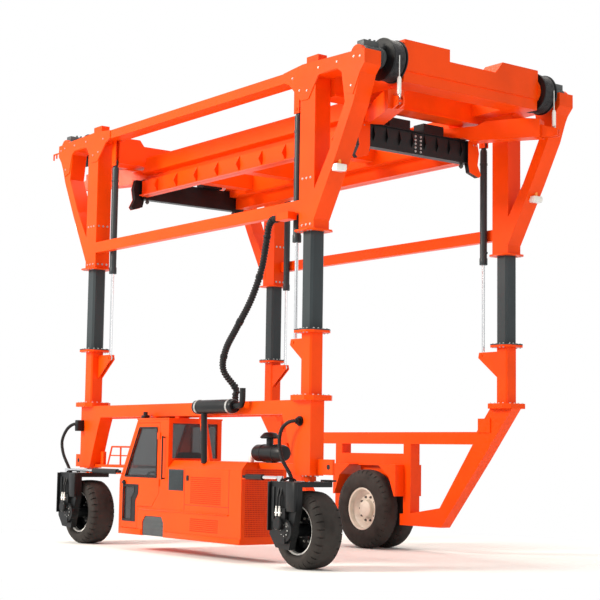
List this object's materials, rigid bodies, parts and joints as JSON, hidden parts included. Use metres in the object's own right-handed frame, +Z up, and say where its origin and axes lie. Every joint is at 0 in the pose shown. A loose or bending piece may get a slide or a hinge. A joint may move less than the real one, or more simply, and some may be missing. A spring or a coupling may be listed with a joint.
{
  "type": "straddle carrier",
  "caption": "Orange three-sided straddle carrier on wheels, with rising upper frame, four rope drums, container spreader, side cab and engine hood.",
  "frame": {"origin": "on the ground under the middle of the machine", "axes": "+Z up, +X along the machine towards the engine end, +Y across towards the twin wheel"},
  "size_m": [8.7262, 4.45, 7.04],
  "materials": {
    "orange_paint": "satin",
    "dark_steel": "satin",
    "black_paint": "satin",
    "chrome": "polished",
    "rubber": "matte",
    "rim_white": "satin",
    "glass": "clear",
    "fabric": "matte",
    "cast_iron": "matte"
  },
  "bodies": {
    "chassis": {"near_side_frame": "orange_paint", "far_side_frame": "orange_paint", "leg_post_front_near": "orange_paint", "leg_post_rear_near": "orange_paint", "leg_post_front_far": "orange_paint", "leg_post_rear_far": "orange_paint", "mast_front_near": "dark_steel", "mast_rear_near": "dark_steel", "mast_front_far": "dark_steel", "mast_rear_far": "dark_steel", "lift_rod_front_near": "chrome", "lift_rod_rear_near": "chrome", "lift_rod_front_far": "chrome", "lift_rod_rear_far": "chrome", "cab_shell": "orange_paint", "cab_front_glass": "glass", "cab_rear_glass": "glass", "driver_seat": "fabric", "console": "fabric", "hood": "orange_paint", "engine_block": "cast_iron", "muffler": "dark_steel", "air_cleaner": "black_paint", "supply_hose": "rubber"},
    "upper_frame": {"upper_side_near": "orange_paint", "upper_side_far": "orange_paint", "head_front": "orange_paint", "head_rear": "orange_paint", "lift_barrel_front_near": "dark_steel", "lift_barrel_rear_near": "dark_steel", "lift_barrel_front_far": "dark_steel", "lift_barrel_rear_far": "dark_steel"},
    "spreader": {"spreader_frame": "orange_paint", "spreader_end_front": "black_paint", "spreader_end_rear": "black_paint"},
    "door": {"cab_door": "orange_paint", "cab_door_glass": "glass"},
    "twin_wheel": {"twin_wheel_hub": "rim_white", "twin_tyre_inner": "rubber", "twin_tyre_outer": "rubber"},
    "drum_front_near": {"rope_drum_front_near": "black_paint"},
    "drum_rear_near": {"rope_drum_rear_near": "black_paint"},
    "drum_front_far": {"rope_drum_front_far": "black_paint"},
    "drum_rear_far": {"rope_drum_rear_far": "black_paint"},
    "fork_front": {"wheel_fork_front": "black_paint"},
    "wheel_front": {"tyre_front": "rubber", "rim_front": "rim_white"},
    "steer_barrel_front": {"steer_barrel_front": "black_paint"},
    "steer_rod_front": {"steer_rod_front": "chrome"},
    "fork_rear": {"wheel_fork_rear": "black_paint"},
    "wheel_rear": {"tyre_rear": "rubber", "rim_rear": "rim_white"},
    "steer_barrel_rear": {"steer_barrel_rear": "black_paint"},
    "steer_rod_rear": {"steer_rod_rear": "chrome"}
  },
  "joints": [
    {"name": "mast_slide", "type": "slide", "parent": "chassis", "child": "upper_frame", "axis": [0, 0, 1], "range_m": [-1.29, 0.29]},
    {"name": "hoist", "type": "slide", "parent": "upper_frame", "child": "spreader", "axis": [0, 0, 1], "range_m": [-1.96, 0.03]},
    {"name": "drum_turn_front_near", "type": "hinge", "parent": "upper_frame", "child": "drum_front_near", "pos_m": [-3.98, -1.425, 6.75], "axis": [0, 1, 0], "range_deg": [-430, 15]},
    {"name": "drum_turn_rear_near", "type": "hinge", "parent": "upper_frame", "child": "drum_rear_near", "pos_m": [3.98, -1.425, 6.75], "axis": [0, -1, 0], "range_deg": [-430, 15]},
    {"name": "drum_turn_front_far", "type": "hinge", "parent": "upper_frame", "child": "drum_front_far", "pos_m": [-3.98, 1.425, 6.75], "axis": [0, 1, 0], "range_deg": [-430, 15]},
    {"name": "drum_turn_rear_far", "type": "hinge", "parent": "upper_frame", "child": "drum_rear_far", "pos_m": [3.98, 1.425, 6.75], "axis": [0, -1, 0], "range_deg": [-430, 15]},
    {"name": "steer_front", "type": "hinge", "parent": "chassis", "child": "fork_front", "pos_m": [-2.955, -1.84, 1.15], "axis": [0, 0, 1], "range_deg": [-35, 35]},
    {"name": "roll_front", "type": "hinge", "parent": "fork_front", "child": "wheel_front", "pos_m": [-2.955, -1.86, 0.515], "axis": [0, 1, 0], "continuous": true},
    {"name": "barrel_swing_front", "type": "hinge", "parent": "chassis", "child": "steer_barrel_front", "pos_m": [-1.56, -2.13, 1.193], "axis": [0, 0, 1], "range_deg": [-12, 12]},
    {"name": "rod_slide_front", "type": "slide", "parent": "steer_barrel_front", "child": "steer_rod_front", "axis": [-1, 0, 0], "range_m": [-0.25, 0.25]},
    {"name": "steer_rear", "type": "hinge", "parent": "chassis", "child": "fork_rear", "pos_m": [2.955, -1.84, 1.15], "axis": [0, 0, 1], "range_deg": [-35, 35]},
    {"name": "roll_rear", "type": "hinge", "parent": "fork_rear", "child": "wheel_rear", "pos_m": [2.955, -1.86, 0.515], "axis": [0, 1, 0], "continuous": true},
    {"name": "barrel_swing_rear", "type": "hinge", "parent": "chassis", "child": "steer_barrel_rear", "pos_m": [1.86, -2.13, 1.193], "axis": [0, 0, 1], "range_deg": [-12, 12]},
    {"name": "rod_slide_rear", "type": "slide", "parent": "steer_barrel_rear", "child": "steer_rod_rear", "axis": [1, 0, 0], "range_m": [-0.25, 0.25]},
    {"name": "roll_twin", "type": "hinge", "parent": "chassis", "child": "twin_wheel", "pos_m": [0, 1.83, 0.636], "axis": [0, 1, 0], "continuous": true},
    {"name": "door_hinge", "type": "hinge", "parent": "chassis", "child": "door", "pos_m": [-0.335, -2.1586, 1.15], "axis": [0, 0, 1], "range_deg": [0, 90]}
  ],
  "couplings": [
    {"joint": "drum_turn_front_near", "follows": "hoist", "rad_per_m": 3.4483},
    {"joint": "drum_turn_rear_near", "follows": "hoist", "rad_per_m": 3.4483},
    {"joint": "drum_turn_front_far", "follows": "hoist", "rad_per_m": 3.4483},
    {"joint": "drum_turn_rear_far", "follows": "hoist", "rad_per_m": 3.4483},
    {"joint": "barrel_swing_front", "follows": "steer_front", "ratio": 0.1575},
    {"joint": "rod_slide_front", "follows": "steer_front", "m_per_rad": -0.2794},
    {"joint": "barrel_swing_rear", "follows": "steer_rear", "ratio": -0.3275},
    {"joint": "rod_slide_rear", "follows": "steer_rear", "m_per_rad": 0.2509}
  ]
}
